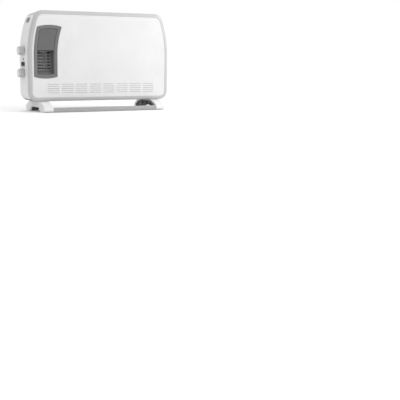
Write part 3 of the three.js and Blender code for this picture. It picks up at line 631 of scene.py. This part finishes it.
def base_plate():
    def path(inset):
        radius = BOTTOM_RADIUS - inset
        right = arc(HALF - BOTTOM_RADIUS, BOTTOM + BOTTOM_RADIUS, radius, JOIN_ANGLE, -math.pi / 2, 8)
        return right + [(-x, z) for x, z in reversed(right)]

    strip = along_path("base_plate_strip", path)
    holes = [rounded_rectangle(x, y, 24, 18, 2.5) for x in spread(12, 34) for y in spread(2, 26, 5)]
    carve(strip, joined(*[prism("tool", hole, BOTTOM - 4, BOTTOM + 6, "z") for hole in holes]))
    strip = apply_modifiers(soften(strip, 0.4, 2, 40))
    posts = []
    for x in (-FOOT_CENTRE, FOOT_CENTRE):
        for y in (-FOOT_SCREW_REACH, FOOT_SCREW_REACH):
            tube = [(BOTTOM + 1.5, 2.3), (BOTTOM + 1.5, 5), (BOTTOM + 14, 5), (BOTTOM + 14, 2.3)]
            angles = [math.pi * k / 12 for k in range(24)]
            rings = [[(x + r * math.cos(a), y + r * math.sin(a), z) for a in angles] for z, r in tube]
            posts.append(crisp(loft("post", rings, round_trip=True)))
    return joined(strip, *posts)


def rear_panel():
    slots = [stadium(x, z, 54, 5) for x in spread(7, 66, 20) for z in spread(4, 12, 96)]
    screws = [stadium(side * x, z, 4.4, 4.4) for side in (-1, 1) for x, z in REAR_SCREWS]
    entry = stadium(GLAND_X, GLAND_Z, 16.6, 16.6, 12)
    edge = [(x, leaned(BACK, z)) for x, z in outline(REAR_LIP + GAP)]
    return plate("rear_panel_sheet", [edge, *slots, *screws, entry], BACK - 1, BACK, "y", 0.25)


stands_for(front_frame(), "front_frame")
stands_for(front_panel(), "front_panel")
stands_for(top_grille(), "top_outlet_grille")
stands_for(base_plate(), "base_plate")
stands_for(rear_panel(), "rear_panel")
for SIDE, SIDE_NAME in ((-1, "left"), (1, "right")):
    stands_for(end_cap(SIDE), f"{SIDE_NAME}_end_cap")
    cup = [(GAP + 1.8, -2.2), (GAP + 1.2, -1.9), (GAP + 0.5, -1.9), (GAP, -2.2), (GAP, -GRIP_DEPTH)]
    bowl = [
        (GAP + 11, -GRIP_DEPTH + 2), (GAP + 8.4, -GRIP_DEPTH + 2.6), (GAP + 6, -GRIP_DEPTH + 4.6),
        (GAP + 4.2, -GRIP_DEPTH + 8), (GAP + 3, -GRIP_DEPTH + 12), (GAP + 2.4, -4), (GAP + 2.1, -2.9)]
    liner = loft(f"{SIDE_NAME}_grip_cup", grip_rings(SIDE, [*reversed(cup), *reversed(bowl)]))
    stands_for(crisp(liner), f"{SIDE_NAME}_grip_liner")


# ---- fan outlet ----
def prism_in_window(inset, low, high):
    return prism("tool", window(inset), low, high, "y")


def outlet_surround():
    front = FRONT - 0.5
    rim = [(GAP, 3.5), (GAP, 0.5), (GAP + 0.15, 0.15), (GAP + 0.5, 0), (2.5, 0), (7, 0.25)]
    roll = [(10.5, 0.7), (12.4, 1.3), (13.5, 2.3), (BEZEL, 4), (BEZEL + 0.2, 14)]
    section = [(inset, front + depth) for inset, depth in rim + roll]
    section += [(BEZEL + 0.4, RECESS_BACK), (BEZEL - 1.8, RECESS_BACK), (BEZEL - 2, front + 4.5)]
    rings = [[(x, y, z) for x, z in window(inset, 3)] for inset, y in section]
    face = crisp(loft("outlet_surround_moulding", rings, round_trip=True), 50)
    ramp = [
        (front + 3, SILL_LOW), (front + 3, 139.4), (front + 4.4, 140.4), (RECESS_BACK - 6, 153.4),
        (RECESS_BACK - 4.6, SILL_TOP), (RECESS_BACK, SILL_TOP), (RECESS_BACK, SILL_LOW)]
    opening = prism_in_window(BEZEL - 0.5, -60, 0)
    sill = carve(prism("sill", ramp, -290, -170, "x"), opening, operation="INTERSECT")
    return joined(face, crisp(sill))


def outlet_hood():
    """A nearly flush plate whose lower lip stands in front of the grille and turns back over it."""
    front, middle, lip, top, low = HOOD_FRONT, HOOD_MIDDLE, HOOD_LIP, HOOD_TOP, HOOD_LOW
    thick = HOOD_THICKNESS
    face = bezier((front, top), (middle, top - 24), (middle, low + 32), (lip, low + 1.2), 32)
    turn = [(lip + 0.35, low + 0.35), (lip + 1.2, low)]
    corner = (lip + 3.5, low + thick)
    shelf = [(HOOD_BACK, low), (HOOD_BACK, low + thick), corner]
    rear = bezier(
        corner, (middle + thick, low + 34), (middle + thick, top - 22), (front + thick, top), 32)
    sheet = prism("outlet_hood_scoop", [*face, *turn, *shelf, *rear[1:]], *OUTLET_SPAN, "x")
    return crisp(carve(sheet, prism_in_window(BEZEL + 0.6, front, 0), operation="INTERSECT"), 35)


def outlet_grille():
    top, low, front, back = GRILLE_TOP, GRILLE_LOW, GRILLE_FRONT, GRILLE_BACK
    slats = []
    for i in range(SLATS):
        z = FIRST_SLAT + i * SLAT_PITCH
        centre = Vector(((front + back) / 2, z))
        turn = Matrix.Rotation(SLAT_TILT, 2)
        corners = [(-4.7, -0.4), (-4.4, -0.9), (4.6, -1), (4.7, 0), (4.6, 1), (-4.4, 0.9), (-4.7, 0.4)]
        loop = [tuple(centre + turn @ Vector(c)) for c in corners]
        slats.append(prism("slat", loop, *OUTLET_SPAN, "x"))
    rib = block("rib", (-223.4, -220.6), (front + 0.5, back), (low, top))
    top_rail = block("top_rail", OUTLET_SPAN, (front + 3, back), (top - 3.4, top))
    bottom_rail = block("bottom_rail", OUTLET_SPAN, (front + 3, back), (low, low + 3.4))
    inside = prism_in_window(BEZEL + 0.6, front, back)
    for bar in (*slats, rib, top_rail, bottom_rail):
        tool = inside.copy()
        bpy.context.scene.collection.objects.link(tool)
        carve(bar, tool, operation="INTERSECT")
    outer, inner = window(BEZEL + 0.6), window(BEZEL + 4)
    rings = [[(x, y, z) for x, z in loop] for loop, y in (
        (outer, front + 3), (outer, back), (inner, back), (inner, front + 3))]
    stiles = carve(
        loft("outlet_grille_louvre", rings, round_trip=True),
        block("tool", OUTLET_SPAN, (-40, 0), (low, top)), operation="INTERSECT")
    bpy.data.objects.remove(inside)
    return crisp(joined(stiles, *slats, rib, top_rail, bottom_rail), 30)


stands_for(outlet_surround(), "outlet_surround")
stands_for(outlet_hood(), "outlet_hood", "hood_grey")
stands_for(outlet_grille(), "outlet_grille", "grille_grey")


# ---- controls ----
def knob_skirt(name, z):
    def out(depth):
        return -HALF - depth

    grip = [
        (KNOB_LIFT, 16.3), (KNOB_LIFT + 0.2, 16.8), (KNOB_LIFT + 0.8, KNOB_RADIUS),
        (KNOB_LIFT + 2.6, KNOB_RADIUS)]
    fluted = [(KNOB_LIFT + 3.4, 16.9), (14, 16.6)]
    turns = [math.pi / 2 * k / 9 for k in range(10)]
    dome = [(14.2 + 6.8 * math.sin(a), 11.8 + 4.7 * math.cos(a)) for a in turns]
    rim = [*dome, (20.8, 11.4), (19.6, 11.3), (19.6, 0)]
    under = [
        (14.5, 0), (14.5, 3.3), (KNOB_LIFT + 0.3, 3.3), (KNOB_LIFT + 0.3, 5.5), (16, 5.5), (16, 13.6),
        (KNOB_LIFT, 14.2)]
    first, last = fluted[0][0], fluted[-1][0]

    def radius_at(x, r, angle):
        depth = -x - HALF
        if r < 16 or not first - 0.01 <= depth <= last + 0.01:
            return r
        return r - 0.75 * (0.5 - 0.5 * math.cos(KNOB_FLUTES * angle)) ** 2

    profile = [(out(d), max(r, 0.01)) for d, r in [*under, *grip, *fluted, *rim]]
    return crisp(lathe(name, profile, (CONTROL_Y, z), KNOB_FLUTES * 6, radius_at), 50)


def knob_cap(name, z):
    face = -HALF - KNOB_REACH
    steps = [
        (1.9, 0.01), (1.9, 11), (1.1, 11.1), (0.7, 10.9), (0.5, 10.3), (0.35, 8), (0.25, 4), (0.2, 0.01)]
    profile = [(face + depth, r) for depth, r in steps]
    disc = crisp(lathe(name, profile, (CONTROL_Y, z), 72), 50)
    pointer = prism("pointer", stadium(z + 6, CONTROL_Y, 7, 1.6), face + 0.02, face + 1, "x")
    for v in pointer.data.vertices:
        y, height = v.co.y, v.co.z
        v.co.y, v.co.z = height, y
    pointer.data.flip_normals()
    return disc, pointer


def rocker_housing():
    out = -HALF
    rim = rounded_rectangle(CONTROL_Y, ROCKER_Z, *ROCKER_RIM, 1.6)
    bezel = prism("rocker_housing_bezel", rim, out - ROCKER_BEZEL, out - GAP, "x")
    sleeve = rounded_rectangle(CONTROL_Y, ROCKER_Z, *ROCKER_BODY, 0.8)
    body = prism("body", sleeve, out - 1, out + 22, "x")
    carve(bezel, body, operation="UNION")
    mouth = rounded_rectangle(CONTROL_Y, ROCKER_Z, *ROCKER_MOUTH, 0.6)
    carve(bezel, prism("tool", mouth, out - 5, out + 17, "x"))
    return soften(bezel, 0.35, 3)


def rocker():
    half, pivot = 7.6, Vector((ROCKER_PIVOT_X, CONTROL_Y))
    dish = bezier((-8, -half), (-6.2, -half / 3), (-6.2, half / 3), (-8, half), 14)
    profile = [*dish, (-1, half - 0.6), (4, 2), (4, -2), (-1, -half + 0.6)]
    turn = Matrix.Rotation(ROCKER_REST, 2)
    loop = [tuple(pivot + turn @ Vector(p)) for p in profile]
    return soften(prism("rocker_paddle", loop, ROCKER_Z - 4.6, ROCKER_Z + 4.6, "z"), 0.45, 3)


def lamp_lens():
    out = -HALF
    turns = [math.pi / 2 * i / 8 for i in range(9)]
    dome = [(out - 0.5 - 2.6 * math.sin(a), max(4 * math.cos(a), 0.01)) for a in turns]
    profile = [(out + 4, 0.01), (out + 4, 4), *dome]
    return crisp(lathe("pilot_lamp_dome", profile, (CONTROL_Y, LAMP_Z), 32), 50)


for KNOB, HEIGHT in KNOB_HEIGHTS.items():
    stands_for(knob_skirt(f"{KNOB}_knob_skirt", HEIGHT), f"{KNOB}_knob")
    DISC, POINTER = knob_cap(f"{KNOB}_knob_face", HEIGHT)
    POINTER_FACES = len(POINTER.data.polygons)
    CAP = stands_for(joined(DISC, POINTER), f"{KNOB}_knob_cap")
    CAP.data.materials.append(MATERIALS["grey_trim"])
    for FACE in CAP.data.polygons[-POINTER_FACES:]:
        FACE.material_index = 1
stands_for(rocker_housing(), "rocker_housing")
stands_for(rocker(), "rocker")
stands_for(lamp_lens(), "pilot_lamp_lens")


# ---- feet ----
def foot_outline(tip_inset, top_inset, bottom=FOOT_BOTTOM):
    tip, top, r = FOOT_REACH - tip_inset, FOOT_TOP - top_inset, 9
    front = arc(tip - r, bottom + r, r, -math.pi / 2, 0, 10)
    slope = bezier((tip, bottom + r), (tip, top * 0.55), (tip * 0.7, top * 0.93), (tip * 0.47, top), 18)
    half = front + slope[1:]
    return half + [(-y, z) for y, z in reversed(half)]


INNER, OUTER = -FOOT_CENTRE + FOOT_HALF, -FOOT_CENTRE - FOOT_HALF


def arch_outline(extra=0, base=-1):
    """The opening under a foot: steep sides and a flat top."""
    half, flat, top = ARCH_HALF + extra, ARCH_FLAT + extra / 2, ARCH_TOP + extra
    side = bezier((half, base), (half - 3, 0.65 * top), (half - 8, top), (flat, top), 16)
    return side + [(-y, z) for y, z in reversed(side)]


def arch_tool(low, high, extra=0):
    return prism("tool", arch_outline(extra), low, high, "x")


def pad_seats():
    profile = [(-1, 8.3), (3.3, 8.3)]
    return [lathe_along("tool", profile, (-FOOT_CENTRE, y), "z") for y in (-PAD_REACH, PAD_REACH)]


def foot_cover():
    cover = prism("foot_cover_moulding", foot_outline(0, 0), OUTER, INNER, "x")
    pocket = prism("tool", foot_outline(13, 4), OUTER + FOOT_WALL, INNER + 5, "x")
    across, along = (OUTER + FOOT_WALL, INNER + 5), (-FOOT_REACH + 24, FOOT_REACH - 24)
    low = block("tool", across, along, (-3, FOOT_BOTTOM + 4))
    carve(cover, arch_tool(OUTER - 5, INNER + 5), pocket, low, *pad_seats())
    return soften(cover, 1.1, 3, 34)


def foot_core():
    """The foot's grey insert: a raised lip round the arch, and shallow pockets between ribs."""
    core = prism("foot_core_block", foot_outline(13 + GAP, 4 + GAP), OUTER + FOOT_WALL + GAP, INNER, "x")
    carve(core, arch_tool(OUTER - 5, INNER + 5))
    pocket = prism("tool", foot_outline(20, 8, FOOT_BOTTOM + 3), INNER - 5, INNER + 5, "x")
    carve(core, carve(pocket, arch_tool(INNER - 15, INNER + 9, 3.5)), *pad_seats())
    ribs = [block("rib", (INNER - 5.5, INNER - 1.5), (y - 1, y + 1), (19, 34)) for y in (-34, 0, 34)]
    return joined(apply_modifiers(soften(core, 0.6, 2, 34)), *ribs)


def cross_bar():
    low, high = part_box("cross_bar")
    half = -INNER - GAP
    middle, height = (low.z + high.z) / 2 / MM, (high.z - low.z) / MM
    loop = rounded_rectangle(BAR_Y, middle, BAR_DEPTH, height, 3, 6)
    return crisp(prism("cross_bar_rail", loop, -half, half, "x"), 50)


def pad(name, x, y):
    profile = [(0.4, 0.01), (0.4, 4.5), (0, 5), (0, 7.4), (0.25, 7.8), (0.8, 8), (3, 8), (3, 0.01)]
    return crisp(lathe_along(name, profile, (x, y), "z"), 50)


LEFT_COVER, LEFT_CORE = foot_cover(), foot_core()
for NAME, PART in (("cover", LEFT_COVER), ("core", LEFT_CORE)):
    stands_for(mirrored(PART, f"right_foot_{NAME}_moulding"), f"right_foot_{NAME}")
    PART.name = f"left_foot_{NAME}_moulding"
    stands_for(PART, f"left_foot_{NAME}")
stands_for(cross_bar(), "cross_bar")
for SIDE, SIDE_NAME in ((-1, "left"), (1, "right")):
    for END, END_NAME in ((-1, "front"), (1, "rear")):
        NODE = f"{SIDE_NAME}_{END_NAME}_pad"
        stands_for(pad(f"{NODE}_disc", SIDE * FOOT_CENTRE, END * PAD_REACH), NODE)


# ---- fasteners and cable entry ----
def screw(name, centre, axis, shank, head, flip=1):
    """A pan-head screw with a cross recess. shank and head are (start, end, radius) along the axis."""
    base, top, r = head
    turns = (0, 0.5, 0.9, 1.2, 1.4, math.pi / 2)
    crown = [(base + (top - base) * math.sin(a), max(r * math.cos(a) ** 0.5, 0.01)) for a in turns]
    profile = [(shank[0], 0.01), (shank[0], shank[2]), (base, shank[2]), (base, r), *crown[1:]]
    body = lathe_along(name, profile, centre, axis)
    for w, h in ((r * 1.1, r * 0.26), (r * 0.26, r * 1.1)):
        corners = [(-w / 2, -h / 2), (w / 2, -h / 2), (w / 2, h / 2), (-w / 2, h / 2)]
        loop = [(centre[0] + u, centre[1] + v) for u, v in corners]
        depths = sorted((top - 1.1 * flip, top + 2 * flip))
        carve(body, prism("tool", loop, *depths, axis))
    return crisp(body, 35)


for SIDE, SIDE_NAME in ((-1, "left"), (1, "right")):
    for i, (X, Z) in enumerate(REAR_SCREWS, 1):
        NODE = f"rear_screw_{SIDE_NAME}_{i}"
        PART = screw(f"{NODE}_cross_head", (SIDE * X, Z), "y", (30, BACK, 1.7), (BACK + GAP, BACK + 2.4, 4))
        stands_for(PART, NODE)
    for END, END_NAME in ((-1, "front"), (1, "rear")):
        NODE = f"{SIDE_NAME}_{END_NAME}_foot_screw"
        PLACE = (SIDE * FOOT_CENTRE, END * FOOT_SCREW_REACH)
        stands_for(screw(f"{NODE}_cross_head", PLACE, "z", (50, 21.7, 2), (21.7, 18, 4.5), -1), NODE)


def cable_gland():
    x, z = GLAND_X, GLAND_Z
    angles = [math.pi / 3 * i for i in range(6)]
    hexagon = [(x + GLAND_RADIUS * math.cos(a), z + GLAND_RADIUS * math.sin(a)) for a in angles]
    flange = prism("cable_gland_nut", hexagon, BACK + GAP, BACK + 6, "y")
    barrel = [(BACK + 0.2, 11.6), (BACK + 1, 12.2), (BACK + 4.6, 12.2), (BACK + 6.1, 10.4)]
    ball = lathe_along("tool", barrel, (x, z), "y", 64)
    carve(flange, ball, operation="INTERSECT")
    depths = [(-14, 8), (8, 8), (10, 7.6), (12.4, 6.6), (13.6, 5.4), (14, 4.8)]
    dome = [(BACK + depth, r) for depth, r in depths]
    body = lathe_along("body", dome, (x, z), "y", 48)
    carve(flange, body, operation="UNION")
    carve(flange, lathe_along("tool", [(BACK - 20, 4), (BACK + 20, 4)], (x, z), "y", 40))
    return crisp(flange, 35)


stands_for(cable_gland(), "cable_gland")

# ---- pieces kept as packed ----
for NODE in sorted(SHOWN_AS_PACKED):
    KEPT = frame["nodes"][NODE]
    KEPT.data.materials.clear()
    KEPT.data.materials.append(MATERIALS[SLOT_OF[NODE]])
    KEPT.modifiers.new("weld", "WELD").merge_threshold = 0.01 * MM
    soften(KEPT, 0.25, 2, 40)


# ---- stage, in metres and degrees ----
LENS, SENSOR_WIDTH = 81.39, 36  # millimetres
CAMERA_Y, CAMERA_Z, CAMERA_LEFT = -3.27, 0.253, 1.583
CAMERA_YAW, CAMERA_PITCH, CAMERA_ROLL = 32.45, -9.61, 0.88
KEY_PLACE, KEY_TARGET = (CENTRE_X + 1.45, -1.05, 0.85), (CENTRE_X, -0.05, 0.2)
KEY_SIZE, KEY_WATTS = (0.4, 0.4), 15
FLOOR_REACH = 60


def floor():
    mesh = bpy.data.meshes.new("floor")
    reach = FLOOR_REACH
    corners = [(-reach, -reach, 0), (reach, -reach, 0), (reach, reach, 0), (-reach, reach, 0)]
    mesh.from_pydata(corners, [], [(0, 1, 2, 3)])
    obj = bpy.data.objects.new("floor", mesh)
    bpy.context.scene.collection.objects.link(obj)
    material, nodes, _ = new_material("pale_floor")
    shader = nodes["Principled BSDF"]
    shader.inputs["Base Color"].default_value = (0.93, 0.93, 0.93, 1)
    shader.inputs["Roughness"].default_value = 0.9
    shader.inputs["Specular IOR Level"].default_value = 0.1
    mesh.materials.append(material)


def area_light(name, place, target, size, power):
    light = bpy.data.lights.new(name, "AREA")
    light.shape = "RECTANGLE"
    light.size, light.size_y = size
    light.energy = power
    obj = bpy.data.objects.new(name, light)
    obj.location = place
    obj.rotation_mode = "QUATERNION"
    obj.rotation_quaternion = (Vector(target) - Vector(place)).to_track_quat("-Z", "Y")
    bpy.context.scene.collection.objects.link(obj)


def sky():
    """A soft white sky, brighter overhead, that shows as plain white behind the object."""
    world = bpy.data.worlds.new("studio")
    world.use_nodes = True
    bpy.context.scene.world = world
    nodes, links = world.node_tree.nodes, world.node_tree.links
    background = nodes["Background"]
    background.inputs["Color"].default_value = (1, 1, 1, 1)
    split = nodes.new("ShaderNodeSeparateXYZ")
    links.new(nodes.new("ShaderNodeTexCoord").outputs["Generated"], split.inputs["Vector"])
    height = spanned(nodes, links, split.outputs["Z"], 0.58, 1.35, 0.0, 1.0)
    seen = nodes.new("ShaderNodeLightPath").outputs["Is Camera Ray"]
    level = nodes.new("ShaderNodeMix")
    level.data_type = "FLOAT"
    links.new(seen, level.inputs["Factor"])
    links.new(height, level.inputs["A"])
    level.inputs["B"].default_value = 1.0
    links.new(level.outputs["Result"], background.inputs["Strength"])


def camera():
    """A camera to the left of the front, turned so that the heater lies in the upper left."""
    data = bpy.data.cameras.new("camera")
    data.lens, data.sensor_width = LENS, SENSOR_WIDTH
    obj = bpy.data.objects.new("camera", data)
    obj.location = (CENTRE_X - CAMERA_LEFT, CAMERA_Y, CAMERA_Z)
    yaw, pitch, roll = (math.radians(a) for a in (CAMERA_YAW, CAMERA_PITCH, CAMERA_ROLL))
    tilt = Matrix.Rotation(math.pi / 2 + pitch, 4, "X")
    turn = Matrix.Rotation(-yaw, 4, "Z") @ tilt @ Matrix.Rotation(roll, 4, "Z")
    obj.rotation_mode = "QUATERNION"
    obj.rotation_quaternion = turn.to_quaternion()
    bpy.context.scene.collection.objects.link(obj)
    bpy.context.scene.camera = obj


floor()
sky()
area_light("right_key", KEY_PLACE, KEY_TARGET, KEY_SIZE, KEY_WATTS)
camera()
bpy.context.scene.view_settings.view_transform = "Standard"
